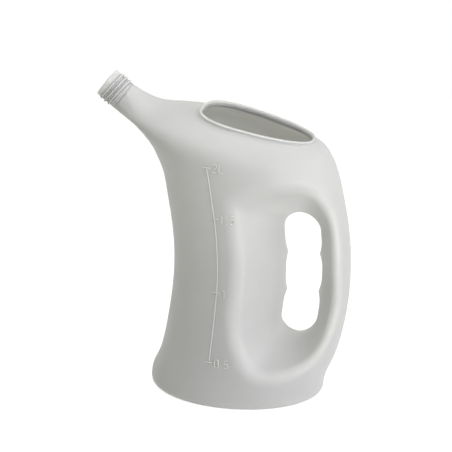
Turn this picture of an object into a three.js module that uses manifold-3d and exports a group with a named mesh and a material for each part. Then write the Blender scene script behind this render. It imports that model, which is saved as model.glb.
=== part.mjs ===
// Two-litre pouring and measuring jug, blow-moulded in natural polyethylene.
// One hollow moulding: oval foot, waisted tank, pinched finger hole with a hollow grip behind it,
// domed shoulder with a slanted oval filling mouth, and a threaded spout. It is modelled zone by zone.
// Millimetres, +Z up, spout towards -X, grip towards +X. Node npm packages: three, manifold-3d.
import * as THREE from 'three';
import { mergeVertices } from 'three/addons/utils/BufferGeometryUtils.js';
import Module from 'manifold-3d';

const wasm = await Module();
wasm.setup();

// ---- driving dimensions ----
const bodyWidth = 112.4; // across the flanks at the foot
const footLength = 151; // foot, front to back
const shoulderHeight = 200; // where the dome and the spout begin
const wall = 1.6; // moulded wall
const footRadius = 11; // rounding between wall and base
const standingRing = 5; // width of the flat ring that the jug stands on
const pushUp = 2; // rise of the base inside that ring

const holeBottom = 54.6;
const holeTop = 162.3;
const holeHalfWidth = 15.3;
const holeX = 49.8; // centre line of the hole at its ends
const holeBow = 4.7; // the centre line bows back this far at mid height
const holeLean = 1.1; // and leans back this far at its top, forward at its bottom
const fingerCusps = [92.9, 126.4]; // heights of the cusps between the fingers
const cuspDepth = 2.1;
const cuspReach = 13;
const rimSoftness = 0.22; // share of the recess wall that the soft rim takes

const mouthLength = 98.7; // outside the lip
const mouthWidth = 64.1;
const mouthTaper = 0.21; // the oval is this much narrower at the grip end, and wider at the spout end
const mouthTilt = 13.4; // degrees, falling towards the grip
const mouthX = 14.5;
const mouthZ = 237.6;
const mouthSquareness = 2.5; // exponent of the oval
const lipThickness = 2.6;
const collarDepth = 12; // the collar is drawn this deep, and the shoulder cuts it off
const seatGap = 0.3; // between pieces that meet on a slant

const spoutX = -114.6; // centre of the spout's end face
const spoutZ = 263.7;
const spoutTilt = 38.4; // degrees above horizontal
const neckLength = 20;
const neckDiameter = 26.6;
const threadDiameter = 28.8;
const threadPitch = 4.6;
const threadTurns = 3;
const threadStart = 5; // from the end face to the first ridge

const reliefHeight = 0.6;
const lineWidth = 1.2;
const tickLength = 7;
const numeralHeight = 7;

const columns = 52;
const rows = 34;

// Sections from the foot to the neck: front x and z, back x and z, half width.
// They are drawn for a jug 151 long at its foot, 200 high to the shoulder and 112.4 wide.
const alongX = (x) => (x * footLength) / 151;
const alongZ = (z) => (z * shoulderHeight) / 200;
const alongY = (y) => (y * bodyWidth) / 112.4;
const drawn = [
  [-78.3, 13.2, 72.7, 13.2, 56.2],
  [-70.9, 31.2, 83.5, 37.3, 56.2],
  [-62.4, 64.5, 91.7, 75.0, 55.0],
  [-57.5, 99.8, 94.0, 114.4, 53.9],
  [-57.1, 135.4, 90.7, 155.7, 53.9],
  [-61.6, 167.1, 81.7, 197.0, 55.0],
  [-63.9, 181.6, 76.8, 211.0, 54.0],
  [-66.9, 195.8, 67.4, 222.9, 52.4],
  [-76.4, 217.0, 3.6, 238.0, 48.9],
  [-87.6, 229.3, -38.4, 242.9, 36.7],
  [-97.7, 235.3, -70.0, 248.7, 23.6],
];
// Outline of the shallow grip recess on each flank, in x and z.
const recessOutline = [
  [9, 185], [7.6, 168], [10.5, 133], [8.8, 103.6], [6.8, 79], [9.3, 60.8],
  [17.7, 41.6], [33, 32.2], [58, 36.2], [72.8, 50], [81, 69.6], [85.6, 95.7],
  [84.4, 130.7], [80.7, 163], [66.9, 188.6], [48.5, 195], [29, 194],
];
// The scale line bows along the front edge of the recess.
const scaleLine = [[-15.4, 41.9], [-9.4, 103.9], [-8.8, 136], [-10.8, 169.2], [-17.4, 212]];
const volumeMarks = [
  { z: 41.9, glyphs: ['zero', 'point', 'five'], name: '0_5' },
  { z: 103.9, glyphs: ['one'], name: '1' },
  { z: 169.2, glyphs: ['one', 'point', 'five'], name: '1_5' },
  { z: 212, glyphs: ['two', 'litre'], name: '2' },
];

// ---- solids ----
function toSolid(geometry) {
  const bare = new THREE.BufferGeometry().setAttribute('position', geometry.getAttribute('position'));
  bare.setIndex(geometry.getIndex());
  const merged = mergeVertices(bare, 1e-4);
  return new wasm.Manifold(
    new wasm.Mesh({
      numProp: 3,
      vertProperties: new Float32Array(merged.getAttribute('position').array),
      triVerts: new Uint32Array(merged.getIndex().array),
    }),
  );
}

function toGeometry(solid) {
  const mesh = solid.getMesh();
  const geometry = new THREE.BufferGeometry();
  geometry.setAttribute('position', new THREE.BufferAttribute(mesh.vertProperties, 3));
  geometry.setIndex(new THREE.BufferAttribute(mesh.triVerts, 1));
  return geometry;
}

// A closed solid through a stack of rings with equal point counts; closed = a ring-shaped solid.
function ringSolid(rings, closed = false) {
  const count = rings[0].length;
  const points = rings.flat();
  const faces = [];
  const last = closed ? rings.length : rings.length - 1;
  for (let i = 0; i < last; i++) {
    const low = i * count;
    const high = ((i + 1) % rings.length) * count;
    for (let j = 0; j < count; j++) {
      const k = (j + 1) % count;
      faces.push(low + j, low + k, high + k, low + j, high + k, high + j);
    }
  }
  if (!closed) {
    for (const [ring, start, flip] of [[rings[0], 0, true], [rings.at(-1), last * count, false]]) {
      const centre = points.length;
      points.push(ring.reduce((sum, p) => sum.add(p), new THREE.Vector3()).divideScalar(count));
      for (let j = 0; j < count; j++) {
        const k = (j + 1) % count;
        faces.push(centre, start + (flip ? k : j), start + (flip ? j : k));
      }
    }
  }
  const geometry = new THREE.BufferGeometry().setFromPoints(points);
  geometry.setIndex(faces);
  return toSolid(geometry);
}

function placed(geometry, matrix) {
  return toSolid(geometry.applyMatrix4(matrix));
}

// A block of space between two heights, two x positions and two y positions.
function region(xLow, xHigh, zLow, zHigh, yLow = -bodyWidth, yHigh = bodyWidth) {
  const box = new THREE.BoxGeometry(xHigh - xLow, yHigh - yLow, zHigh - zLow);
  box.translate((xLow + xHigh) / 2, (yLow + yHigh) / 2, (zLow + zHigh) / 2);
  return toSolid(box);
}

// ---- body outline ----
const tilt = THREE.MathUtils.degToRad(spoutTilt);
const spoutAxis = new THREE.Vector3(-Math.cos(tilt), 0, Math.sin(tilt));
const acrossSpout = new THREE.Vector3(Math.sin(tilt), 0, Math.cos(tilt));
const spoutEnd = new THREE.Vector3(alongX(spoutX), 0, alongZ(spoutZ));
const neckBase = spoutEnd.clone().addScaledVector(spoutAxis, -neckLength);
const neckBaseRadius = threadDiameter / 2 - 0.3;

const fronts = drawn.map(([x, z, , , w]) => new THREE.Vector3(alongX(x), alongY(w), alongZ(z)));
const backs = drawn.map(([, , x, z, w]) => new THREE.Vector3(alongX(x), alongY(w), alongZ(z)));
for (const [list, side] of [[fronts, -1], [backs, 1]]) {
  const end = neckBase.clone().addScaledVector(acrossSpout, side * neckBaseRadius);
  list.push(end.setY(neckBaseRadius));
}
const frontCurve = new THREE.CatmullRomCurve3(fronts, false, 'catmullrom', 0.5);
const backCurve = new THREE.CatmullRomCurve3(backs, false, 'catmullrom', 0.5);

function sectionAt(u) {
  const front = frontCurve.getPoint(u);
  const back = backCurve.getPoint(u);
  const halfWidth = front.y;
  front.y = 0;
  back.y = 0;
  return { front, back, halfWidth };
}

// The wall cuts each section on a slant, so it is thicker there than at right angles to the wall.
function slantedWall(curve, u, chord) {
  const tangent = curve.getTangent(u).setY(0).normalize();
  const sine = Math.abs(tangent.x * chord.z - tangent.z * chord.x);
  return wall / Math.max(sine, 0.35);
}

// ---- finger hole and recess ----
function holeCentre(z) {
  const middle = (holeTop + holeBottom) / 2;
  const share = THREE.MathUtils.clamp((z - middle) / (middle - holeBottom), -1, 1);
  return holeX + holeBow * (1 - share * share) + holeLean * share;
}

function slotDistance(x, z) {
  const axisZ = THREE.MathUtils.clamp(z, holeBottom + holeHalfWidth, holeTop - holeHalfWidth);
  return Math.hypot(x - holeCentre(z), z - axisZ) - holeHalfWidth;
}

const outlineCurve = new THREE.CatmullRomCurve3(
  recessOutline.map(([x, z]) => new THREE.Vector3(alongX(x), 0, alongZ(z))),
  true,
  'centripetal',
);
const outline = outlineCurve.getSpacedPoints(80);

// Distance to the recess outline, positive inside it.
function depthInRecess(x, z) {
  let nearest = Infinity;
  let inside = false;
  for (let i = 0; i < outline.length - 1; i++) {
    const p = outline[i];
    const q = outline[i + 1];
    const dx = q.x - p.x;
    const dz = q.z - p.z;
    const along = ((x - p.x) * dx + (z - p.z) * dz) / (dx * dx + dz * dz);
    const t = THREE.MathUtils.clamp(along, 0, 1);
    nearest = Math.min(nearest, Math.hypot(x - p.x - t * dx, z - p.z - t * dz));
    if (p.z > z !== q.z > z && x < p.x + ((z - p.z) * dx) / dz) inside = !inside;
  }
  return inside ? nearest : -nearest;
}

// Share of the full half width that is left: 0 at the pinch round the hole, 1 outside the recess.
function recessShare(x, z) {
  const fromHole = Math.max(slotDistance(x, z), 0);
  const share = fromHole / Math.max(fromHole + depthInRecess(x, z), 1e-6);
  const k = rimSoftness;
  if (share <= 1 - k) return share;
  if (share >= 1 + k) return 1;
  return share - (share - 1 + k) ** 2 / (4 * k);
}

// Half thickness of the jug at (x, z), from its full half thickness there.
function pinched(x, z, full) {
  return full <= wall ? full : wall + (full - wall) * recessShare(x, z);
}

// ---- outer surface and cavity ----
function bodyRing(u, z, shrink, inner) {
  const { front, back, halfWidth } = sectionAt(u);
  const chord = back.clone().sub(front).normalize();
  const centre = front.clone().add(back).multiplyScalar(0.5);
  const half = front.distanceTo(back) / 2;
  const cutFront = inner ? slantedWall(frontCurve, u, chord) : 0;
  const cutBack = inner ? slantedWall(backCurve, u, chord) : 0;
  if (z !== undefined) {
    centre.z = z;
    chord.set(1, 0, 0);
  }
  const centreShift = (cutFront - cutBack) / 2;
  const reach = half - (cutFront + cutBack) / 2 - shrink;
  const ring = [];
  for (let j = 0; j < columns; j++) {
    const angle = (2 * Math.PI * j) / columns;
    const along = centreShift + reach * Math.cos(angle);
    const p = centre.clone().addScaledVector(chord, along);
    let y = (halfWidth - (inner ? wall : 0) - shrink) * Math.abs(Math.sin(angle));
    const full = halfWidth * Math.sqrt(Math.max(1 - (along / half) ** 2, 0));
    if (inner) {
      const step = 0.5;
      const here = pinched(p.x, p.z, full);
      const slopeX = (pinched(p.x + step, p.z, full) - here) / step;
      const slopeZ = (pinched(p.x, p.z + step, full) - here) / step;
      if (full - here > 0.05) y = Math.min(y, here - wall * Math.hypot(1, slopeX, slopeZ));
      y = Math.max(y, Math.abs(Math.sin(angle)) * 0.4);
    } else {
      y = Math.min(y, pinched(p.x, p.z, full));
    }
    p.y = Math.sign(Math.round(Math.sin(angle) * 1e6)) * y;
    ring.push(p);
  }
  return ring;
}

function bodySolid(inner) {
  const floor = inner ? pushUp + wall : 0;
  const radius = inner ? footRadius - wall : footRadius;
  const rings = [];
  for (const degrees of [90, 60, 35, 15]) {
    const angle = THREE.MathUtils.degToRad(degrees);
    rings.push(bodyRing(0, floor + radius * (1 - Math.sin(angle)), radius * (1 - Math.cos(angle)), inner));
  }
  for (let i = 0; i <= rows; i++) {
    rings.push(bodyRing(i / rows, undefined, 0, inner));
  }
  if (inner) {
    rings.push(rings.at(-1).map((p) => p.clone().add(spoutAxis)));
  }
  return ringSolid(rings);
}

// ---- finger hole ----
// Half width of the hole at a height, with a cusp between each two fingers.
function holeReach(z) {
  const end = holeHalfWidth;
  const axisZ = THREE.MathUtils.clamp(z, holeBottom + end, holeTop - end);
  let reach = Math.sqrt(Math.max(end * end - (z - axisZ) ** 2, 0));
  for (const cusp of fingerCusps) {
    const near = Math.max(1 - Math.abs(z - cusp) / cuspReach, 0);
    reach -= cuspDepth * near * near;
  }
  return reach;
}

function holeSolid(grow, cusped) {
  const heights = [];
  const middle = (holeTop + holeBottom) / 2;
  const half = (holeTop - holeBottom) / 2;
  const steps = 30;
  for (let i = 0; i <= steps; i++) {
    heights.push(middle - half * Math.cos((Math.PI * i) / steps));
  }
  heights.push(...(cusped ? fingerCusps : []));
  heights.sort((a, b) => a - b);
  const point = (z, side) => {
    const reach = cusped ? holeReach(z) : Math.sqrt(
      Math.max(holeHalfWidth ** 2 - (z - THREE.MathUtils.clamp(
        z, holeBottom + holeHalfWidth, holeTop - holeHalfWidth)) ** 2, 0));
    const stretch = (half + grow) / half;
    return new THREE.Vector2(holeCentre(z) + side * (reach + grow), middle + (z - middle) * stretch);
  };
  const right = heights.map((z) => point(z, 1));
  const left = heights.map((z) => point(z, -1)).reverse();
  const shape = new THREE.Shape([...right, ...left]);
  const prism = new THREE.ExtrudeGeometry(shape, { depth: 2 * bodyWidth, bevelEnabled: false });
  prism.translate(0, 0, -bodyWidth);
  return placed(prism, new THREE.Matrix4().makeRotationX(Math.PI / 2));
}

// ---- filling mouth ----
const mouthFrame = new THREE.Matrix4()
  .makeTranslation(alongX(mouthX), 0, alongZ(mouthZ))
  .multiply(new THREE.Matrix4().makeRotationY(THREE.MathUtils.degToRad(mouthTilt)));

function mouthOval(grow, height, count = 48) {
  const ring = [];
  for (let i = 0; i < count; i++) {
    const angle = (2 * Math.PI * i) / count;
    const c = Math.cos(angle);
    const s = Math.sin(angle);
    const power = 2 / mouthSquareness;
    const along = Math.sign(c) * Math.abs(c) ** power;
    const x = (mouthLength / 2 + grow) * along;
    const y = (mouthWidth / 2 + grow) * Math.sign(s) * Math.abs(s) ** power * (1 - mouthTaper * along);
    ring.push(new THREE.Vector3(x, y, height).applyMatrix4(mouthFrame));
  }
  return ring;
}

// The collar round the mouth stands on the shoulder of the filled body.
function mouthRim(filled) {
  const bead = lipThickness / 2;
  const profile = [[0, -collarDepth], [0, -bead]];
  for (const degrees of [45, 90, 135]) {
    const angle = THREE.MathUtils.degToRad(degrees);
    profile.push([-bead + bead * Math.cos(angle), -bead + bead * Math.sin(angle)]);
  }
  profile.push([-lipThickness, -bead], [-lipThickness, -collarDepth]);
  const collar = ringSolid(profile.map(([grow, height]) => mouthOval(grow, height)), true);
  const up = new THREE.Vector3(0, 0, seatGap).transformDirection(mouthFrame).multiplyScalar(seatGap);
  const raised = placed(toGeometry(filled), new THREE.Matrix4().setPosition(up));
  return collar.subtract(raised);
}

// ---- spout neck with its thread ----
const neckFrame = new THREE.Matrix4().makeBasis(
  new THREE.Vector3(0, 1, 0),
  new THREE.Vector3().crossVectors(spoutAxis, new THREE.Vector3(0, 1, 0)),
  spoutAxis,
).setPosition(neckBase);

function neckRing(radius, height, count = 32) {
  const ring = [];
  for (let i = 0; i < count; i++) {
    const angle = (2 * Math.PI * i) / count;
    const p = new THREE.Vector3(radius * Math.cos(angle), radius * Math.sin(angle), height);
    ring.push(p.applyMatrix4(neckFrame));
  }
  return ring;
}

function neckTube() {
  const outer = neckDiameter / 2;
  const bore = outer - wall;
  const chamfer = 0.6;
  const profile = [
    [neckBaseRadius, seatGap], [outer, 2.4], [outer, neckLength - chamfer],
    [outer - chamfer, neckLength], [bore, neckLength], [bore, seatGap],
  ];
  return ringSolid(profile.map(([radius, height]) => neckRing(radius, height)), true);
}

function threadRidge() {
  const steps = 22 * threadTurns;
  const root = neckDiameter / 2 - 0.4;
  const crest = threadDiameter / 2;
  const rings = [];
  for (let i = 0; i <= steps; i++) {
    const angle = (2 * Math.PI * threadTurns * i) / steps;
    const runOut = Math.min(1, i / 8, (steps - i) / 8);
    const top = root + 0.2 + (crest - root - 0.2) * runOut;
    const height = neckLength - threadStart - threadPitch * threadTurns + (threadPitch * threadTurns * i) / steps;
    const section = [[root, 1.3], [top, 0.5], [top, -0.5], [root, -1.3]];
    rings.push(section.map(([r, z]) => new THREE.Vector3(
      r * Math.cos(angle), r * Math.sin(angle), height + z).applyMatrix4(neckFrame)));
  }
  return ringSolid(rings);
}

// ---- raised volume scale ----
const scaleCurve = new THREE.CatmullRomCurve3(
  scaleLine.map(([x, z]) => new THREE.Vector3(alongX(x), 0, alongZ(z))), false, 'catmullrom', 0.5);

function scaleX(z) {
  let best = scaleCurve.getPoint(0);
  for (let i = 0; i <= 200; i++) {
    const p = scaleCurve.getPoint(i / 200);
    if (Math.abs(p.z - z) < Math.abs(best.z - z)) best = p;
  }
  return best.x;
}

// Half thickness of the body at (x, z): the section that runs through this point gives it.
function flankAt(x, z) {
  const side = ({ front, back }) => (x - front.x) * (back.z - front.z) - (z - front.z) * (back.x - front.x);
  let low = 0;
  let high = 0.75;
  for (let i = 0; i < 40; i++) {
    const middle = (low + high) / 2;
    if (side(sectionAt(middle)) < 0) low = middle;
    else high = middle;
  }
  const { front, back, halfWidth } = sectionAt(low);
  const centreX = (front.x + back.x) / 2;
  const share = (x - centreX) / ((back.x - front.x) / 2);
  return pinched(x, z, halfWidth * Math.sqrt(Math.max(1 - share * share, 0)));
}

function scaleRelief() {
  const steps = 24;
  const low = alongZ(volumeMarks[0].z);
  const high = alongZ(volumeMarks.at(-1).z);
  const rings = [];
  for (let i = 0; i <= steps; i++) {
    const z = low + ((high - low) * i) / steps;
    const x = scaleX(z);
    const corner = (side, out) => {
      const px = x + (side * lineWidth) / 2;
      return new THREE.Vector3(px, -flankAt(px, z) - seatGap - out, z);
    };
    rings.push([corner(-1, reliefHeight), corner(1, reliefHeight), corner(1, 0), corner(-1, 0)]);
  }
  let relief = ringSolid(rings);
  for (const { z } of volumeMarks) {
    relief = relief.add(flankBar(scaleX(alongZ(z)), alongZ(z), tickLength, lineWidth));
  }
  return relief;
}

// Frame on the near flank at (x, z): local x runs back along the wall, local y up, local z outwards.
function flankFrame(x, z) {
  const reach = 3;
  const point = (px, pz) => new THREE.Vector3(px, -flankAt(px, pz), pz);
  const back = point(x + reach, z).sub(point(x - reach, z)).normalize();
  const up = point(x, z + reach).sub(point(x, z - reach));
  const out = new THREE.Vector3().crossVectors(back, up).normalize();
  const trueUp = new THREE.Vector3().crossVectors(out, back);
  const origin = point(x, z).addScaledVector(out, seatGap + reliefHeight / 2);
  return new THREE.Matrix4().makeBasis(back, trueUp, out).setPosition(origin);
}

function flankBar(x, z, length, width) {
  return placed(new THREE.BoxGeometry(length, width, reliefHeight), flankFrame(x, z));
}

// Strokes of each glyph on a cell one unit wide and two units high.
const strokes = {
  zero: [[0, 0, 1, 0], [1, 0, 1, 2], [1, 2, 0, 2], [0, 2, 0, 0]],
  one: [[0.5, 0, 0.5, 2], [0.5, 2, 0.05, 1.6]],
  two: [[0, 2, 1, 2], [1, 2, 1, 1.2], [1, 1.2, 0, 0], [0, 0, 1, 0]],
  five: [[1, 2, 0, 2], [0, 2, 0, 1.1], [0, 1.1, 1, 1.1], [1, 1.1, 1, 0], [1, 0, 0, 0]],
  litre: [[0, 2, 0, 0], [0, 0, 0.9, 0]],
  point: [[0.3, 0, 0.5, 0]],
};

function glyphSolid(name, x, z) {
  const unit = numeralHeight / 2;
  const frame = flankFrame(x + unit / 2, z);
  let solid;
  for (const [x0, y0, x1, y1] of strokes[name]) {
    const length = Math.hypot(x1 - x0, y1 - y0) * unit;
    const bar = new THREE.BoxGeometry(length + lineWidth * 0.8, lineWidth * 0.8, reliefHeight);
    bar.rotateZ(Math.atan2(y1 - y0, x1 - x0));
    bar.translate(((x0 + x1) / 2 - 0.5) * unit, ((y0 + y1) / 2 - 1) * unit, 0);
    const piece = placed(bar, frame);
    solid = solid ? solid.add(piece) : piece;
  }
  return solid;
}

// ---- the zones of the moulding ----
const polyethylene = { color: 0xe4e6e0, roughness: 0.5, metalness: 0 };
const jug = new THREE.Group();

function add(name, solid) {
  const mesh = new THREE.Mesh(toGeometry(solid), new THREE.MeshStandardMaterial(polyethylene));
  mesh.name = name;
  jug.add(mesh);
}

function baseDish() {
  const low = bodyRing(0, -1, footRadius + standingRing, false);
  const high = bodyRing(0, pushUp, footRadius + standingRing + 2 * pushUp, false);
  const level = bodyRing(0, 0, footRadius + standingRing, false);
  return ringSolid([low, level, high]);
}

const far = 400;
const holeMiddle = holeX + holeBow;
const clearOfHole = 7; // the grip zone ends this far inside each end of the hole
const footTop = alongZ(20);
const gripLow = holeBottom + clearOfHole;
const gripHigh = holeTop - clearOfHole;
const spoutFrom = alongX(-66);

const cavity = bodySolid(true).subtract(holeSolid(1.5 * wall, false));
const mouthCut = ringSolid([mouthOval(-lipThickness, -30), mouthOval(-lipThickness, 40)]);
const filled = bodySolid(false);
const moulding = filled
  .subtract(holeSolid(0, true))
  .subtract(cavity)
  .subtract(mouthCut)
  .subtract(baseDish());

add('base', moulding.intersect(region(-far, far, -far, footTop)));
const zones = {
  lower_body: [-far, far, footTop, gripLow],
  tank_wall: [-far, holeMiddle, gripLow, gripHigh],
  grip: [holeMiddle, far, gripLow, gripHigh],
  upper_body: [-far, far, gripHigh, shoulderHeight],
  shoulder: [spoutFrom, far, shoulderHeight, far],
  spout: [-far, spoutFrom, shoulderHeight, far],
};
// Above the base the two mould halves meet on the jug's plane of symmetry.
for (const [name, limits] of Object.entries(zones)) {
  add(`${name}_left`, moulding.intersect(region(...limits, -bodyWidth, 0)));
  add(`${name}_right`, moulding.intersect(region(...limits, 0, bodyWidth)));
}
add('mouth_rim', mouthRim(filled));
add('spout_neck', neckTube().add(threadRidge()));
add('volume_scale', scaleRelief());
for (const { z, glyphs, name } of volumeMarks) {
  const start = scaleX(alongZ(z)) + tickLength / 2 + 1.5;
  glyphs.forEach((glyph, i) => {
    const shift = (i * 0.8 * numeralHeight) * (glyphs.length === 3 ? 0.75 : 1);
    add(`numeral_${name}_${glyph}`, glyphSolid(glyph, start + shift, alongZ(z)));
  });
}

// The origin is under the middle of the jug's length, in its plane of symmetry, on the surface it stands on.
jug.updateMatrixWorld(true);
const box = new THREE.Box3().setFromObject(jug);
jug.position.x = -(box.min.x + box.max.x) / 2;

export default jug;
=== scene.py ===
"""Two-litre pouring and measuring jug in natural polyethylene: the looks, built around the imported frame."""
import math

import bmesh
import bpy
import numpy as np
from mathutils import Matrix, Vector


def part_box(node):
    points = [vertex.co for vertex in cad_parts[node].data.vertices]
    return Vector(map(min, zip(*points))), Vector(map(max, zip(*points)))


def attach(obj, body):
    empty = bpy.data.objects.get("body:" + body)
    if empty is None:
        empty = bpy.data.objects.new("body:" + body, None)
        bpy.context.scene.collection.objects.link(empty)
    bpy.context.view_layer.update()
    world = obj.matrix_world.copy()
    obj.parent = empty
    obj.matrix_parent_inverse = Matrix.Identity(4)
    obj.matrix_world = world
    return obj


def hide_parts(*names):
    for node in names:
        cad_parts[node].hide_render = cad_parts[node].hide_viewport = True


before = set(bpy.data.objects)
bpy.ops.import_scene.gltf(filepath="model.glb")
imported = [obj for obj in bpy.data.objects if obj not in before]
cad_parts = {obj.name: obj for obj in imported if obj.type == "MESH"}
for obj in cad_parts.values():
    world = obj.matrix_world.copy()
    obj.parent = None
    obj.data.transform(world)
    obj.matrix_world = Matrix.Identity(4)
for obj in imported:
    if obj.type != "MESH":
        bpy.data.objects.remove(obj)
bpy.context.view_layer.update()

MM = 0.001

# ---- the jug's own sizes, in millimetres ----
# The drawing has the front of the foot at FOOT_FRONT; SHIFT is the way in x from the drawing to the frame.
FOOT_FRONT = -78.3
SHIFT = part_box("base")[0].x / MM - FOOT_FRONT
WALL = 1.6
FOOT_RADIUS = 6.5
STANDING_RING = 5.0
PUSH_UP = 2.0
HOLE_LOW, HOLE_HIGH, HOLE_HALF = 54.6, 162.3, 15.3
HOLE_X, HOLE_BOW, HOLE_LEAN = 49.8 + SHIFT, 4.7, 1.1
CUSPS, CUSP_DEPTH, CUSP_REACH = (92.9, 126.4), 2.1, 13.0
MOUTH_LENGTH, MOUTH_WIDTH, MOUTH_TILT = 98.7, 64.1, math.radians(13.4)
MOUTH_X, MOUTH_Z, MOUTH_POWER, MOUTH_TAPER = 14.5 + SHIFT, 237.6, 2.5, 0.21
SPOUT_X, SPOUT_Z, SPOUT_TILT = -114.6 + SHIFT, 264.1, math.radians(38.4)
NECK_LENGTH, NECK_R = 20.0, 12.75
THREAD_PITCH, THREAD_TURNS, THREAD_START = 3.85, 3, 5.0

# How softly the recess runs into the flanks, at most.
RIM_SOFTNESS = 9.0
# How far inside the mouth's oval the collar's outer and inner skins stand under the lip.
COLLAR_INSET, THROAT_INSET = 0.5, 2.2
# Where the skins are cut open: up from the mouth's plane, and along the spout from the neck's base.
LIP_CUT, SPOUT_CUT = -0.9, 3.0
# The edges of the nets that the two skins are made of.
OUTER_STEP, INNER_STEP = ((1.5, 2.0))

SPOUT_AXIS = np.array([-math.cos(SPOUT_TILT), 0.0, math.sin(SPOUT_TILT)])
SPOUT_UP = np.array([math.sin(SPOUT_TILT), 0.0, math.cos(SPOUT_TILT)])
SPOUT_END = np.array([SPOUT_X, 0.0, SPOUT_Z])
NECK_BASE = SPOUT_END - NECK_LENGTH * SPOUT_AXIS

# Sections from the foot to the spout: front x and z, back x and z, half width.
SECTIONS = [
    (-77.3, 13.2, 73.7, 13.2, 56.1),
    (-69.9, 31.2, 82.8, 37.3, 56.1),
    (-62.4, 64.5, 91.3, 75.0, 55.0),
    (-57.7, 99.8, 94.0, 114.4, 53.9),
    (-57.3, 135.4, 90.6, 155.7, 53.9),
    (-61.0, 167.1, 81.6, 197.0, 55.0),
    (-63.2, 181.6, 75.9, 210.4, 54.0),
    (-66.2, 195.8, 66.0, 221.8, 52.6),
    (-70.3, 207.0, 37.0, 231.6, 51.2),
    (-75.0, 217.8, 3.6, 240.3, 48.9),
    (-86.4, 230.3, -38.4, 246.5, 36.7),
    (-96.4, 236.5, -69.5, 250.0, 23.6),
]
# The recess's outline on the flank, in x and z.
RECESS = [
    (9, 185), (7.6, 168), (10.5, 133), (8.8, 103.6), (6.8, 79), (9.3, 60.8),
    (17.7, 41.6), (33, 32.2), (58, 36.2), (72.8, 50), (81, 69.6), (85.6, 95.7),
    (84.4, 130.7), (80.7, 163), (66.9, 188.6), (48.5, 195), (29, 194),
]


# ---- curves ----
class Spline:
    """Smooth curve through points at equal steps of u, from 0 to the number of points less one."""

    def __init__(self, points, closed=False):
        p = np.asarray(points, float)
        self.closed, self.count = closed, len(p)
        n = len(p)
        system = np.zeros((n, n))
        right = np.zeros_like(p)
        for i in range(n):
            if not closed and i in (0, n - 1):
                system[i, i] = 1.0
                continue
            before, after = (i - 1) % n, (i + 1) % n
            system[i, before] += 1.0
            system[i, i] += 4.0
            system[i, after] += 1.0
            right[i] = 6.0 * (p[before] - 2.0 * p[i] + p[after])
        self.p, self.m = p, np.linalg.solve(system, right)

    def __call__(self, u):
        u = np.asarray(u, float)
        last = self.count if self.closed else self.count - 1
        i = np.clip(np.floor(u).astype(int), 0, last - 1)
        t = (u - i)[..., None]
        j = (i + 1) % self.count
        s = 1.0 - t
        bend = (s ** 3 - s) * self.m[i] + (t ** 3 - t) * self.m[j]
        return s * self.p[i] + t * self.p[j] + bend / 6.0


def body_sections():
    """The sections as one curve, from under the floor, through the body, to beyond the spout's end."""
    rows = [(fx + SHIFT, fz, bx + SHIFT, bz, w) for fx, fz, bx, bz, w in SECTIONS]
    first = rows[0]
    rows.insert(0, (first[0], -12.0, first[2], -12.0, first[4]))
    core = NECK_R - 0.5
    for reach, radius in ((0.0, NECK_R + 0.1), (5.0, core), (NECK_LENGTH, core), (NECK_LENGTH + 8, core)):
        centre = NECK_BASE + reach * SPOUT_AXIS
        low, high = centre - radius * SPOUT_UP, centre + radius * SPOUT_UP
        rows.append((low[0], low[2], high[0], high[2], radius))
    return Spline(rows)


# ---- flat fields over x and z ----
class Field:
    """A smooth function on a grid over x and z, read between its points by cubic interpolation."""

    def __init__(self, values, low, step):
        self.v, self.low, self.step = values, np.asarray(low, float), step

    def __call__(self, x, z):
        a = (np.asarray(x) - self.low[0]) / self.step
        b = (np.asarray(z) - self.low[1]) / self.step
        i = np.clip(np.floor(a).astype(int), 1, self.v.shape[0] - 3)
        j = np.clip(np.floor(b).astype(int), 1, self.v.shape[1] - 3)
        wa, wb = self.weights(a - i), self.weights(b - j)
        total = np.zeros(np.shape(x))
        for p in range(4):
            for q in range(4):
                total += wa[p] * wb[q] * self.v[i + p - 1, j + q - 1]
        return total

    @staticmethod
    def weights(t):
        t = np.clip(t, -1.0, 2.0)
        return (
            -0.5 * t + t * t - 0.5 * t ** 3,
            1.0 - 2.5 * t * t + 1.5 * t ** 3,
            0.5 * t + 2.0 * t * t - 1.5 * t ** 3,
            -0.5 * t * t + 0.5 * t ** 3,
        )

    def slopes(self):
        gx, gz = np.gradient(self.v, self.step)
        return Field(gx, self.low, self.step), Field(gz, self.low, self.step)


def squared_half_width(x, z, sections):
    """y squared on the body's surface at (x, z): negative outside its outline."""
    low = np.zeros(x.shape)
    high = np.full(x.shape, sections.count - 1.0)
    for _ in range(26):
        u = 0.5 * (low + high)
        s = sections(u)
        below = (x - s[..., 0]) * (s[..., 3] - s[..., 1]) - (z - s[..., 1]) * (s[..., 2] - s[..., 0]) < 0
        low = np.where(below, u, low)
        high = np.where(below, high, u)
    s = sections(0.5 * (low + high))
    dx, dz = s[..., 2] - s[..., 0], s[..., 3] - s[..., 1]
    length = np.hypot(dx, dz)
    share = ((x - s[..., 0]) * dx + (z - s[..., 1]) * dz) / length ** 2 * 2.0 - 1.0
    return s[..., 4] ** 2 * (1.0 - share ** 2)


def hole_centre(z):
    """x of the hole's middle line, which bows towards the back."""
    middle, half = (HOLE_HIGH + HOLE_LOW) / 2, (HOLE_HIGH - HOLE_LOW) / 2
    share = np.clip((z - middle) / half, -1, 1)
    return HOLE_X + HOLE_BOW * (1.0 - share ** 2) + HOLE_LEAN * share


def slot_distance(x, z, cusped):
    """Distance from the through hole's edge, negative in the hole."""
    axis_z = np.clip(z, HOLE_LOW + HOLE_HALF, HOLE_HIGH - HOLE_HALF)
    out = np.hypot(x - hole_centre(z), z - axis_z) - HOLE_HALF
    if cusped:
        for cusp in CUSPS:
            near = np.sqrt(np.clip(1.0 - np.abs(z - cusp) / CUSP_REACH, 0, 1) ** 4 + 1e-4)
            out = out + CUSP_DEPTH * near
    return out


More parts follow.
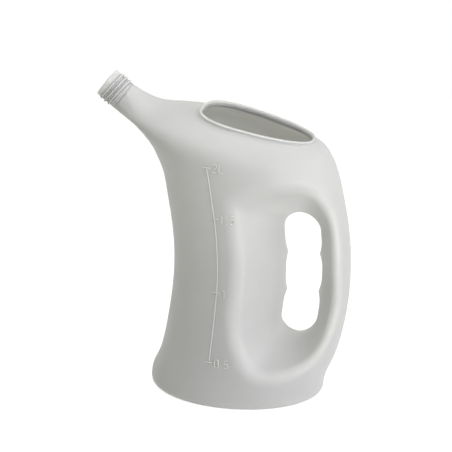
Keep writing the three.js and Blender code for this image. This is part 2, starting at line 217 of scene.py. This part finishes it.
def recess_share(x, z):
    """0 on the pinch line round the hole, 1 on the recess outline, more outside it, and the half width there.

    It is measured along rays that leave the hole's middle line at right angles.
    """
    outline = Spline([(px + SHIFT, pz) for px, pz in RECESS], closed=True)
    points = outline(np.linspace(0, len(RECESS), 241)[:-1])
    axis_z = np.clip(z, HOLE_LOW + HOLE_HALF, HOLE_HIGH - HOLE_HALF)
    ox, oz = hole_centre(axis_z), axis_z
    dx, dz = x - ox, z - oz
    far = np.maximum(np.hypot(dx, dz), 1e-6)
    dx, dz = dx / far, dz / far
    reach = np.full(x.shape, 1e9)
    for p, q in zip(points, np.roll(points, -1, 0)):
        ex, ez = q - p
        cross = dx * ez - dz * ex
        cross = np.where(np.abs(cross) < 1e-9, 1e-9, cross)
        along = ((p[0] - ox) * ez - (p[1] - oz) * ex) / cross
        part = ((p[0] - ox) * dz - (p[1] - oz) * dx) / cross
        hit = (part >= -1e-6) & (part <= 1 + 1e-6) & (along > 0)
        reach = np.where(hit & (along < reach), along, reach)
    rim = np.sqrt(np.maximum(squared_half_width(ox + reach * dx, oz + reach * dz, body_sections()), 100.0))
    return (far - HOLE_HALF) / np.maximum(reach - HOLE_HALF, 1.0), rim


def flat_fields():
    """The squared half width of the body, and the half width that the recess leaves, as fields."""
    step = 1.0
    x, z = np.arange(-125.0, 125.0, step), np.arange(-20.0, 292.0, step)
    gx, gz = np.meshgrid(x, z, indexing="ij")
    square = squared_half_width(gx, gz, body_sections())
    share, rim = recess_share(gx, gz)
    # The share rounds off to zero inside the hole, so that the two flanks never pass through each other.
    half = WALL + (rim - WALL) * 0.5 * (share + np.sqrt(share ** 2 + 0.0006))
    low = (x[0], z[0])
    return Field(np.maximum(square, -4000.0), low, step), Field(half, low, step)


SQUARE, HALF = flat_fields()
SQUARE_X, SQUARE_Z = SQUARE.slopes()
HALF_X, HALF_Z = HALF.slopes()


# ---- distances, negative inside ----
def smooth_max(a, b, k):
    """The greater of a and b, rounded where they differ by less than k."""
    h = np.maximum(k - np.abs(a - b), 0.0) / k
    return np.maximum(a, b) + h * h * k * 0.25


def smooth_min(a, b, k):
    return -smooth_max(-a, -b, k)


def mouth_frame(x, z):
    """Along the mouth's plane from its middle, and up from the plane."""
    c, s = math.cos(MOUTH_TILT), math.sin(MOUTH_TILT)
    return (x - MOUTH_X) * c - (z - MOUTH_Z) * s, (x - MOUTH_X) * s + (z - MOUTH_Z) * c


def oval_distance(u, v):
    """Distance from the mouth's oval in its plane, negative inside."""
    a, n = MOUTH_LENGTH / 2, MOUTH_POWER
    b = MOUTH_WIDTH / 2 * (1.0 - MOUTH_TAPER * np.clip(u / a, -1.4, 1.4))
    p, q = np.abs(u) / a + 1e-6, np.abs(v) / b + 1e-6
    r = (p ** n + q ** n) ** (1.0 / n)
    slope = r ** (1.0 - n) * np.hypot(p ** (n - 1) / a, q ** (n - 1) / b)
    return (r - 1.0) / slope


def base_rise(x, y):
    """Height of the base's underside: a flat standing ring with a shallow push-up inside it."""
    front, back = SECTIONS[0][0] + SHIFT, SECTIONS[0][2] + SHIFT
    a, b = (back - front) / 2, SECTIONS[0][4]
    r = np.hypot((x - (front + back) / 2) / a, y / b)
    inward = (1.0 - r) * b - FOOT_RADIUS - STANDING_RING
    t = np.clip(inward / 7.0, 0, 1)
    return PUSH_UP * t * t * (3 - 2 * t)


class Columns:
    """The flat fields at fixed x and z, so that a whole grid reads them once."""

    def __init__(self, x, z):
        self.x, self.z = x, z
        self.square = SQUARE(x, z)
        self.square_slope = SQUARE_X(x, z) ** 2 + SQUARE_Z(x, z) ** 2
        self.half = HALF(x, z)
        self.softness = np.clip(0.45 * self.half, 2.5, RIM_SOFTNESS)
        self.half_slope = np.sqrt(1.0 + HALF_X(x, z) ** 2 + HALF_Z(x, z) ** 2)
        self.slot = slot_distance(x, z, True)
        self.plain_slot = slot_distance(x, z, False)
        self.u, self.h = mouth_frame(x, z)


def body_distance(c, y, inset):
    """The moulding's skin without its lip, moved inwards by inset."""
    y = np.abs(y)
    side = (y * y - c.square) / np.sqrt(4 * y * y + c.square_slope + 1.0) + inset
    bottom = base_rise(c.x, y) - c.z + inset
    r = FOOT_RADIUS - inset
    a, b = side + r, bottom + r
    skin = np.minimum(np.maximum(a, b), 0.0) + np.hypot(np.maximum(a, 0), np.maximum(b, 0)) - r
    grip = (y - c.half) / c.half_slope + inset
    return smooth_max(skin, grip, c.softness)


def outer_distance(c, y):
    """The outer skin: the body with its hole, and the collar."""
    skin = smooth_max(body_distance(c, y, 0.0), -c.slot, 1.6)
    oval = oval_distance(c.u, y)
    collar = np.maximum(oval + COLLAR_INSET, np.maximum(c.h - 2.0, -8.0 - c.h))
    return smooth_min(skin, collar, 4.5)


def inner_distance(c, y):
    """The inner skin: the cavity, and the throat up through the mouth."""
    skin = smooth_max(body_distance(c, y, WALL), 1.7 * WALL - c.plain_slot, 3.0)
    oval = oval_distance(c.u, y)
    throat = np.maximum(oval + THROAT_INSET, np.maximum(c.h - 6.0, -14.0 - c.h))
    return smooth_min(skin, throat, 2.0)


# ---- surfaces from distances ----
def surface_net(value, low, step):
    """Quads where value changes sign on a grid, one point in each crossed cell."""
    inside = value < 0
    cells = tuple(n - 1 for n in value.shape)
    total, hits = np.zeros(cells + (3,), np.float32), np.zeros(cells, np.int16)
    crossings = []
    for axis in range(3):
        first = [slice(None)] * 3
        second = [slice(None)] * 3
        first[axis], second[axis] = slice(0, -1), slice(1, None)
        v0, v1 = value[tuple(first)], value[tuple(second)]
        at = np.argwhere((v0 < 0) != (v1 < 0))
        a, b = v0[tuple(at.T)], v1[tuple(at.T)]
        point = at.astype(np.float32)
        point[:, axis] += a / (a - b)
        others = [k for k in range(3) if k != axis]
        for da in (0, 1):
            for db in (0, 1):
                cell = at.copy()
                cell[:, others[0]] -= da
                cell[:, others[1]] -= db
                fine = ((cell >= 0) & (cell < np.array(cells))).all(1)
                key = tuple(cell[fine].T)
                np.add.at(total, key, point[fine])
                np.add.at(hits, key, 1)
        crossings.append((at, a < 0))
    active = hits > 0
    number = np.full(cells, -1, np.int64)
    number[active] = np.arange(active.sum())
    points = total[active] / hits[active][:, None] * step + np.asarray(low)
    quads = []
    ahead, back = ((1, 1), (0, 1), (0, 0), (1, 0)), ((1, 1), (1, 0), (0, 0), (0, 1))
    turns = (ahead, back, ahead)
    for axis, (at, outward) in enumerate(crossings):
        others = [k for k in range(3) if k != axis]
        whole = ((at[:, others] > 0) & (at[:, others] < np.array(cells)[others])).all(1)
        at, outward = at[whole], outward[whole]
        corners = []
        for da, db in turns[axis]:
            cell = at.copy()
            cell[:, others[0]] -= da
            cell[:, others[1]] -= db
            corners.append(number[tuple(cell.T)])
        quad = np.stack(corners, 1)
        quad[~outward] = quad[~outward][:, ::-1]
        quads.append(quad)
    return points.astype(float), np.concatenate(quads)


def on_surface(points, distance, step):
    """Moves points along the distance's slope until they lie on its zero surface."""
    e = 0.02
    for _ in range(4):
        here = distance(points)
        slope = [distance(points + e * d) - distance(points - e * d) for d in np.eye(3)]
        slope = np.stack(slope, 1) / (2 * e)
        length = np.maximum((slope ** 2).sum(1), 0.05)
        move = -(here / length)[:, None] * slope
        far = np.maximum(np.linalg.norm(move, axis=1, keepdims=True) / (0.5 * step), 1.0)
        points = points + move / far
    return points, slope / np.linalg.norm(slope, axis=1, keepdims=True)


def relaxed(points, quads, distance, step, rounds):
    """Evens out the net along the surface."""
    for _ in range(rounds):
        points, normal = on_surface(points, distance, step)
        total, count = np.zeros_like(points), np.zeros(len(points))
        for a, b in ((0, 1), (1, 2), (2, 3), (3, 0)):
            np.add.at(total, quads[:, a], points[quads[:, b]])
            np.add.at(total, quads[:, b], points[quads[:, a]])
            np.add.at(count, quads[:, a], 1)
            np.add.at(count, quads[:, b], 1)
        pull = total / count[:, None] - points
        pull -= (pull * normal).sum(1, keepdims=True) * normal
        points = points + 0.5 * pull
    return on_surface(points, distance, step)[0]


def skin_net(distance_of, step, rounds):
    """Points and quads of one of the two skins, over the whole jug."""
    x = np.arange(-112.0, 112.0 + step, step) + 0.11
    y = np.arange(-60.0 - step / 2, 60.0 + step, step)
    z = np.arange(-3.0, 280.0 + step, step) + 0.07
    gx, gz = np.meshgrid(x, z, indexing="ij")
    columns = Columns(gx, gz)
    value = np.empty((len(x), len(y), len(z)), np.float32)
    for k, height in enumerate(y):
        value[:, k, :] = distance_of(columns, np.full(gx.shape, height))
    points, quads = surface_net(value, (x[0], y[0], z[0]), step)

    def distance(p):
        return distance_of(Columns(p[:, 0], p[:, 2]), p[:, 1])

    return relaxed(points, quads, distance, step, rounds), quads


# ---- meshes ----
def new_object(name, points, faces, nodes, material):
    """Adds a mesh given in millimetres, which stands for CAD nodes."""
    mesh = bpy.data.meshes.new(name)
    mesh.from_pydata((np.asarray(points) * MM).tolist(), [], [tuple(int(i) for i in f) for f in faces])
    mesh.validate()
    mesh.shade_smooth()
    mesh.materials.append(material)
    return placed(name, mesh, nodes)


def placed(name, mesh, nodes):
    """Puts a mesh into the scene as a piece on the jug's body, in the place of CAD nodes."""
    obj = bpy.data.objects.new(name, mesh)
    bpy.context.collection.objects.link(obj)
    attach(obj, "root")
    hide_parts(*nodes)
    return obj


def crease(obj, angle):
    """Marks the edges that turn by more than angle as sharp."""
    bm = bmesh.new()
    bm.from_mesh(obj.data)
    bmesh.ops.recalc_face_normals(bm, faces=bm.faces)
    for edge in bm.edges:
        edge.smooth = edge.calc_face_angle(0.0) < angle
    bm.to_mesh(obj.data)
    bm.free()


def rings_mesh(rings, closed_along=False):
    """Points and faces through rings of equal point counts, with the ends capped unless they meet."""
    count, n = len(rings[0]), len(rings)
    points = np.concatenate(rings)
    faces = []
    for i in range(n if closed_along else n - 1):
        a, b = i * count, ((i + 1) % n) * count
        for j in range(count):
            k = (j + 1) % count
            faces.append((a + j, a + k, b + k, b + j))
    if not closed_along:
        faces.append(tuple(range(count))[::-1])
        faces.append(tuple((n - 1) * count + j for j in range(count)))
    return points, faces


def jug_shell(material, nodes):
    """Both skins of the moulding, cut open at the mouth and the spout and joined there."""
    bm = bmesh.new()
    for distance_of, step, flip in ((outer_distance, OUTER_STEP, False), (inner_distance, INNER_STEP, True)):
        points, quads = skin_net(distance_of, step, 3)
        verts = [bm.verts.new(p) for p in points * MM]
        for quad in quads.tolist():
            bm.faces.new([verts[i] for i in (quad[::-1] if flip else quad)])
    up = Vector((math.sin(MOUTH_TILT), 0.0, math.cos(MOUTH_TILT)))
    mouth = Vector((MOUTH_X, 0.0, MOUTH_Z))
    spout = Vector(NECK_BASE + SPOUT_CUT * SPOUT_AXIS)

    def near_mouth(face):
        p = np.array([v.co for v in face.verts]) / MM
        u, h = mouth_frame(p[:, 0], p[:, 2])
        return h.min() > -9.0 and oval_distance(u, p[:, 1]).max() < 0.3

    faces = [f for f in bm.faces if f.verts[0].co.z > 200 * MM and near_mouth(f)]
    for plane, normal, chosen in (
        (mouth + LIP_CUT * up, up, faces),
        (spout, Vector(SPOUT_AXIS), None),
    ):
        chosen = list(bm.faces) if chosen is None else chosen
        verts = list(dict.fromkeys(v for f in chosen for v in f.verts))
        edges = list(dict.fromkeys(e for f in chosen for e in f.edges))
        bmesh.ops.bisect_plane(
            bm, geom=verts + edges + chosen, dist=1e-7, plane_co=plane * MM, plane_no=normal, clear_outer=True
        )
    between = -60 * MM  # the spout's rims are in front of this x, the mouth's behind it
    for at_spout in (True, False):
        rim = [e for e in bm.edges if e.is_boundary and (e.verts[0].co.x < between) == at_spout]
        bmesh.ops.bridge_loops(bm, edges=rim)
    mesh = bpy.data.meshes.new("jug_body")
    bm.to_mesh(mesh)
    bm.free()
    mesh.shade_smooth()
    mesh.materials.append(material)
    crease(placed("jug_body", mesh, nodes), math.radians(50))


def mouth_outline(count):
    """Points (u, v) evenly along the mouth's oval, and the outward directions there."""
    angle = np.linspace(0, 2 * math.pi, 4001)
    power = 2.0 / MOUTH_POWER
    c, s = np.cos(angle), np.sin(angle)
    along = np.sign(c) * np.abs(c) ** power
    across = np.sign(s) * np.abs(s) ** power * (1.0 - MOUTH_TAPER * along)
    p = np.stack([MOUTH_LENGTH / 2 * along, MOUTH_WIDTH / 2 * across], 1)
    run = np.concatenate([[0], np.cumsum(np.linalg.norm(np.diff(p, axis=0), axis=1))])
    at = np.linspace(0, run[-1], count + 1)[:-1]
    points = np.stack([np.interp(at, run, p[:, k]) for k in (0, 1)], 1)
    ahead = np.roll(points, -1, 0) - np.roll(points, 1, 0)
    ahead /= np.linalg.norm(ahead, axis=1, keepdims=True)
    return points, np.stack([ahead[:, 1], -ahead[:, 0]], 1)


def from_mouth(u, v, h):
    """Points of the frame for places along, across and above the mouth's plane."""
    c, s = math.cos(MOUTH_TILT), math.sin(MOUTH_TILT)
    return np.stack([MOUTH_X + u * c + h * s, v, MOUTH_Z - u * s + h * c], -1)


# Section of the lip: outwards from the oval and up from the mouth's plane.
LIP_PROFILE = [
    (-1.30, 0.0), (-0.9, -0.04), (-0.5, -0.18), (-0.18, -0.46), (-0.02, -0.85), (0.0, -1.2), (-0.06, -1.55),
    (-0.22, -1.9), (-0.5, -2.2), (-0.85, -2.5), (-1.2, -3.1), (-1.5, -4.4), (-1.75, -5.0), (-2.1, -5.05),
    (-2.4, -4.8), (-2.55, -4.3), (-2.6, -3.0), (-2.6, -2.0), (-2.6, -1.2), (-2.54, -0.75), (-2.35, -0.38),
    (-2.05, -0.14), (-1.7, -0.03),
]


def lip(material):
    points, out = mouth_outline(220)
    o, h = np.array(LIP_PROFILE).T
    rings = []
    for (u, v), (ou, ov) in zip(points, out):
        rings.append(from_mouth(u + o * ou, v + o * ov, h))
    p, f = rings_mesh(rings, closed_along=True)
    crease(new_object("mouth_lip", p, f, ["mouth_rim"], material), math.radians(70))


# Section of the spout's neck: along the spout from its neck base, and outwards from its outside.
NECK_PROFILE = [
    (1.0, -1.1), (1.1, -0.4), (1.7, -0.08), (2.6, 0.0), (6.0, 0.0), (10.0, 0.0), (14.0, 0.0), (17.5, 0.0),
    (18.8, 0.0), (19.4, -0.1), (19.8, -0.35), (20.0, -0.75), (20.0, -1.0), (19.8, -1.35), (19.4, -1.53),
    (18.8, -1.6), (14.0, -1.6), (9.0, -1.6), (4.0, -1.6), (1.6, -1.45),
]


def round_spout(along, radius, angle):
    """Points round the spout's axis."""
    across = np.array([0.0, 1.0, 0.0])
    centre = NECK_BASE + np.multiply.outer(along, SPOUT_AXIS)
    turn = np.multiply.outer(np.cos(angle), SPOUT_UP) + np.multiply.outer(np.sin(angle), across)
    return centre + np.asarray(radius)[..., None] * turn


def neck(material):
    along, outwards = np.array(NECK_PROFILE).T
    angles = np.linspace(0, 2 * math.pi, 121)[:-1]
    rings = [round_spout(along, outwards + NECK_R, np.full(len(along), a)) for a in angles]
    p, f = rings_mesh(rings, closed_along=True)
    crease(new_object("spout_end", p, f, ["spout_neck"], material), math.radians(70))


def thread(material):
    """A rounded ridge that winds round the neck and fades out at both ends."""
    turns = THREAD_TURNS
    steps = 96 * turns
    fade_angle = 35
    section = [
        (-1.35, -0.5), (-1.3, 0.0), (-0.95, 0.35), (-0.62, 0.85), (-0.25, 1.08),
        (0.25, 1.08), (0.62, 0.85), (0.95, 0.35), (1.3, 0.0), (1.35, -0.5),
    ]
    side, rise = np.array(section).T
    rings = []
    for i in range(steps + 1):
        share = i / steps
        fade = min(1.0, min(share, 1 - share) * turns * 360 / fade_angle)
        angle = 2 * math.pi * turns * share + math.pi
        along = NECK_LENGTH - THREAD_START - THREAD_PITCH * turns * share
        height = np.where(rise > 0, rise * math.sin(0.5 * math.pi * fade), rise)
        rings.append(round_spout(along + side, NECK_R + height, np.full(len(side), angle)))
    p, f = rings_mesh(rings)
    new_object("spout_thread", p, f, [], material)


# ---- relief on the near flank ----
def flank_point(x, z):
    """Points on the near flank, and the outward directions there."""
    x, z = np.broadcast_arrays(np.asarray(x, float), np.asarray(z, float))

    def depth(px, pz):
        low, high = np.full(px.shape, 15.0), np.full(px.shape, 62.0)
        columns = Columns(px, pz)
        for _ in range(30):
            y = 0.5 * (low + high)
            inside = outer_distance(columns, y) < 0
            low, high = np.where(inside, y, low), np.where(inside, high, y)
        return 0.5 * (low + high)

    e = 0.5
    y = depth(x, z)
    yx = (depth(x + e, z) - depth(x - e, z)) / (2 * e)
    yz = (depth(x, z + e) - depth(x, z - e)) / (2 * e)
    normal = np.stack([-yx, -np.ones_like(y), -yz], -1)
    return np.stack([x, -y, z], -1), normal / np.linalg.norm(normal, axis=-1, keepdims=True)


def even(points, spacing, closed):
    """Points at even steps along a stroke, with its corners rounded."""
    p = np.asarray(points, float)
    if closed:
        p = np.vstack([p, p[:1]])
    run = np.concatenate([[0], np.cumsum(np.linalg.norm(np.diff(p, axis=0), axis=1))])
    count = max(int(run[-1] / spacing), 4)
    at = np.linspace(0, run[-1], count + 1)
    p = np.stack([np.interp(at, run, p[:, k]) for k in (0, 1)], 1)
    for _ in range(2):
        p[1:-1] = 0.25 * p[:-2] + 0.5 * p[1:-1] + 0.25 * p[2:]
        if closed:
            p[0] = p[-1] = 0.25 * p[-2] + 0.5 * p[0] + 0.25 * p[1]
    return p[:-1] if closed else p


def ribbon(path, width, height, closed=False, spacing=0.45):
    """A rounded raised line along a path in x and z on the near flank."""
    p = even(path, spacing, closed)
    base, normal = flank_point(p[:, 0], p[:, 1])
    ahead = np.roll(base, -1, 0) - np.roll(base, 1, 0)
    if not closed:
        ahead[0], ahead[-1] = base[1] - base[0], base[-1] - base[-2]
    ahead /= np.linalg.norm(ahead, axis=1, keepdims=True)
    across = np.cross(normal, ahead)
    run = np.concatenate([[0], np.cumsum(np.linalg.norm(np.diff(base, axis=0), axis=1))])
    half = width / 2
    rings = []
    section = [
        (-1.0, -0.9), (-1.0, 0.0), (-0.72, 0.55), (-0.36, 0.9), (0.0, 1.0),
        (0.36, 0.9), (0.72, 0.55), (1.0, 0.0), (1.0, -0.9),
    ]
    for i in range(len(p)):
        end = half if closed else min(run[i], run[-1] - run[i])
        fade = 1.0 if end >= half else math.sqrt(max(1 - (1 - end / half) ** 2, 0.04))
        out = fade * across[i]
        rings.append(np.array([
            base[i] + a * half * out + b * height * (fade if b > 0 else 1) * normal[i] for a, b in section
        ]))
    return rings_mesh(rings, closed_along=closed)


def joined(pieces):
    """Several points and faces as one."""
    points, faces, start = [], [], 0
    for p, f in pieces:
        points.append(p)
        faces += [tuple(start + i for i in face) for face in f]
        start += len(p)
    return np.concatenate(points), faces


# The scale's line on the flank, in x and z, and its marks: height, name of the numeral, glyphs.
SCALE_LINE = [(-15.4, 41.9), (-9.4, 103.9), (-8.8, 136.0), (-10.8, 169.2), (-17.4, 212.0)]
LINE_WIDTH, TICK, NUMERAL = 1.2, 7.0, 7.0
RELIEF = 0.45
MARKS = [
    (41.9, "0_5", ("zero", "point", "five")),
    (103.9, "1", ("one",)),
    (169.2, "1_5", ("one", "point", "five")),
    (212.0, "2", ("two", "litre")),
]
# Each glyph is one stroke on a cell one unit wide and two units high.
GLYPHS = {
    "zero": ([(0.5, 2), (0.12, 1.85), (0, 1.5), (0, 0.5), (0.12, 0.15), (0.5, 0), (0.88, 0.15), (1, 0.5),
              (1, 1.5), (0.88, 1.85)], True),
    "one": ([(0.1, 1.55), (0.5, 2), (0.5, 0)], False),
    "two": ([(0, 1.6), (0.15, 1.9), (0.5, 2), (0.88, 1.88), (1, 1.5), (0.9, 1.15), (0, 0), (1, 0)], False),
    "five": ([(0.95, 2), (0.1, 2), (0.02, 1.15), (0.5, 1.25), (0.9, 1.1), (1, 0.65), (0.85, 0.15), (0.45, 0),
              (0, 0.2)], False),
    "litre": ([(0, 2), (0, 0), (0.9, 0)], False),
    "point": ([(0.3, 0), (0.5, 0)], False),
}


def scale_x(z):
    """x of the scale's line at a height."""
    s = Spline(SCALE_LINE)(np.linspace(0, len(SCALE_LINE) - 1, 200))
    return np.interp(z, s[:, 1], s[:, 0]) + SHIFT


def volume_scale(material):
    z = np.linspace(SCALE_LINE[0][1], SCALE_LINE[-1][1], 90)
    pieces = [ribbon(np.stack([scale_x(z), z], 1), LINE_WIDTH, RELIEF, spacing=1.2)]
    for z, _, _ in MARKS:
        x = scale_x(z)
        pieces.append(ribbon([(x - TICK / 2, z), (x + TICK / 2, z)], LINE_WIDTH, RELIEF))
    p, f = joined(pieces)
    new_object("scale_line", p, f, ["volume_scale"], material)
    unit = NUMERAL / 2
    for z, label, glyphs in MARKS:
        start = scale_x(z) + TICK / 2 + 1.5
        for i, glyph in enumerate(glyphs):
            shift = i * 0.8 * NUMERAL * (0.75 if len(glyphs) == 3 else 1.0)
            stroke, closed = GLYPHS[glyph]
            path = [(start + shift + a * unit, z + (b - 1) * unit) for a, b in stroke]
            spacing = 0.2 if glyph == "point" else 0.4
            p, f = ribbon(path, 0.8 * LINE_WIDTH, RELIEF, closed, spacing)
            new_object(f"mark_{label}_{glyph}", p, f, [f"numeral_{label}_{glyph}"], material)


def pinch_seam(material):
    """The welded seam left across the base where the mould closed on the parison."""
    x = np.linspace(-52.0 + SHIFT, 46.0 + SHIFT, 80)
    section = [(-1.1, 0.5), (-1.0, 0.0), (-0.6, -0.55), (0.0, -0.75), (0.6, -0.55), (1.0, 0.0), (1.1, 0.5)]
    rings = []
    for i, px in enumerate(x):
        fade = math.sqrt(max(1 - (2 * i / (len(x) - 1) - 1) ** 6, 0.02))
        rings.append(np.array([(px, a * (0.6 + 0.4 * fade), PUSH_UP + (b * fade if b < 0 else b))
                               for a, b in section]))
    p, f = rings_mesh(rings)
    new_object("base_seam", p, f, [], material)


# ---- looks ----
def add_node(tree, kind, **inputs):
    """Adds a node with its inputs set, where an underscore in a name stands for a space."""
    node = tree.nodes.new("ShaderNode" + kind)
    for name, value in inputs.items():
        node.inputs[name.replace("_", " ")].default_value = value
    return node


def polyethylene(name, milky, dark, light):
    """Natural polyethylene: milky, a little light goes through it, satin with a fine blow-moulded grain."""
    m = bpy.data.materials.new(name)
    m.use_nodes = True
    t = m.node_tree
    shader = t.nodes["Principled BSDF"]
    shader.inputs["Roughness"].default_value = 0.42
    shader.inputs["IOR"].default_value = 1.51
    shader.inputs["Specular IOR Level"].default_value = 0.5
    shader.inputs["Subsurface Weight"].default_value = milky
    shader.inputs["Subsurface Radius"].default_value = (1.0, 0.98, 0.9)
    shader.inputs["Subsurface Scale"].default_value = 0.009

    place = add_node(t, "TexCoord")
    cloud = add_node(t, "TexNoise", Scale=22.0, Detail=3.0)
    grain = add_node(t, "TexNoise", Scale=900.0, Detail=2.0)
    wave = add_node(t, "TexNoise", Scale=60.0, Detail=2.0)
    for noise in (cloud, grain, wave):
        t.links.new(place.outputs["Object"], noise.inputs["Vector"])

    tone = add_node(t, "ValToRGB")
    for element, position, color in zip(tone.color_ramp.elements, (0.3, 0.7), (dark, light)):
        element.position, element.color = position, color
    t.links.new(cloud.outputs["Fac"], tone.inputs["Fac"])
    t.links.new(tone.outputs["Color"], shader.inputs["Base Color"])

    fine = add_node(t, "Bump", Strength=0.12, Distance=0.0001)
    broad = add_node(t, "Bump", Strength=0.15, Distance=0.0006)
    t.links.new(grain.outputs["Fac"], fine.inputs["Height"])
    t.links.new(wave.outputs["Fac"], broad.inputs["Height"])
    t.links.new(broad.outputs["Normal"], fine.inputs["Normal"])
    t.links.new(fine.outputs["Normal"], shader.inputs["Normal"])
    return m


def camera():
    """A long lens in front of the scale's flank, a little to the right and above."""
    turn, rise, distance = math.radians(13), math.radians(20), 1456.0
    back = Vector((math.sin(turn) * math.cos(rise), -math.cos(turn) * math.cos(rise), math.sin(rise)))
    target = Vector((SHIFT - 12.8, 0.0, 144.6))
    data = bpy.data.cameras.new("camera")
    data.lens = 137.66
    data.sensor_width = 36.0
    data.clip_end = 20.0
    obj = bpy.data.objects.new("camera", data)
    bpy.context.collection.objects.link(obj)
    obj.location = (target + back * distance) * MM
    obj.rotation_euler = back.to_track_quat("Z", "Y").to_euler()
    bpy.context.scene.camera = obj


def lamp(name, position, target, size, power, color):
    """A soft rectangular lamp turned towards a target."""
    data = bpy.data.lights.new(name, "AREA")
    data.shape = "RECTANGLE"
    data.size, data.size_y = size
    data.energy = power
    data.color = color
    obj = bpy.data.objects.new(name, data)
    bpy.context.collection.objects.link(obj)
    obj.location = position
    obj.rotation_euler = (Vector(position) - Vector(target)).to_track_quat("Z", "Y").to_euler()


def white_to_camera(tree, shown, other):
    """Shows one shader to the camera, to mirrors and through glass, and another to all other light."""
    path = add_node(tree, "LightPath")
    mix = add_node(tree, "MixShader")
    seen = path.outputs["Is Camera Ray"]
    for name in ("Is Glossy Ray", "Is Transmission Ray"):
        either = add_node(tree, "Math")
        either.operation = "MAXIMUM"
        tree.links.new(seen, either.inputs[0])
        tree.links.new(path.outputs[name], either.inputs[1])
        seen = either.outputs[0]
    tree.links.new(seen, mix.inputs["Fac"])
    tree.links.new(other, mix.inputs[1])
    tree.links.new(shown, mix.inputs[2])
    return mix.outputs[0]


def studio():
    """Soft lamps, a white floor that keeps the jug's shadow, and a white surround."""
    middle = (0.0, 0.0, 0.13)
    lamp("right", (0.85, -0.05, 0.62), middle, (0.6, 0.8), 1.2, (0.95, 0.95, 1.0))
    lamp("right_front", (0.75, -0.75, 0.4), middle, (0.6, 0.8), 3.4, (0.9, 0.9, 1.0))
    lamp("right_low", (0.95, -0.35, 0.18), middle, (0.5, 0.4), 2.2, (1.0, 1.0, 0.94))
    lamp("top", (0.15, 0.25, 1.1), middle, (0.9, 0.9), 2.2, (0.96, 0.97, 1.0))
    lamp("top_front", (0.2, -0.7, 0.95), middle, (0.8, 0.6), 2.1, (1.0, 0.98, 0.88))
    lamp("over_spout", (-0.14, -0.12, 0.7), (-0.05, 0.0, 0.24), (0.35, 0.35), 0.6, (0.98, 0.98, 1.0))

    white = bpy.data.materials.new("white_floor")
    white.use_nodes = True
    t = white.node_tree
    diffuse = t.nodes["Principled BSDF"]
    diffuse.inputs["Base Color"].default_value = (0.8, 0.8, 0.8, 1)
    diffuse.inputs["Roughness"].default_value = 0.9
    diffuse.inputs["Specular IOR Level"].default_value = 0.1
    glow = add_node(t, "Emission", Color=(1.0, 1.0, 1.0, 1), Strength=0.72)
    bright = add_node(t, "AddShader")
    t.links.new(diffuse.outputs[0], bright.inputs[0])
    t.links.new(glow.outputs[0], bright.inputs[1])
    result = white_to_camera(t, bright.outputs[0], diffuse.outputs[0])
    t.links.new(result, t.nodes["Material Output"].inputs["Surface"])
    half = 0.95
    corners = [(-half, -half, 0), (half, -half, 0), (half, half, 0), (-half, half, 0)]
    mesh = bpy.data.meshes.new("floor")
    mesh.from_pydata(corners, [], [(0, 1, 2, 3)])
    mesh.materials.append(white)
    floor = bpy.data.objects.new("floor", mesh)
    bpy.context.collection.objects.link(floor)

    world = bpy.data.worlds.new("studio")
    bpy.context.scene.world = world
    world.use_nodes = True
    w = world.node_tree
    light = w.nodes["Background"]
    light.inputs["Color"].default_value = (1.0, 1.0, 0.87, 1)
    light.inputs["Strength"].default_value = 0.27
    plain = add_node(w, "Background", Color=(1.0, 1.0, 1.0, 1), Strength=1.0)
    result = white_to_camera(w, plain.outputs[0], light.outputs[0])
    w.links.new(result, w.nodes["World Output"].inputs["Surface"])


# ---- the jug ----
plastic = polyethylene("natural_polyethylene", 1.0, (0.762, 0.765, 0.74, 1), (0.79, 0.793, 0.768, 1))
# The scale's marks get a copy of the same plastic, without subsurface and with its tone set, so that the
# marks show the lighter look that light catching the raised ridges gives them. This is painted light, not a
# different plastic.
raised = polyethylene("raised_marks_painted_light", 0.0, (0.695, 0.70, 0.675, 1), (0.715, 0.72, 0.695, 1))
ZONES = ("base", "lower_body", "tank_wall", "grip", "upper_body", "shoulder", "spout")
SIDES = ("", "_left", "_right")
jug_shell(plastic, [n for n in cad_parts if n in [zone + side for zone in ZONES for side in SIDES]])
lip(plastic)
neck(plastic)
thread(plastic)
volume_scale(raised)
pinch_seam(plastic)
studio()
camera()
bpy.context.scene.view_settings.view_transform = "Standard"
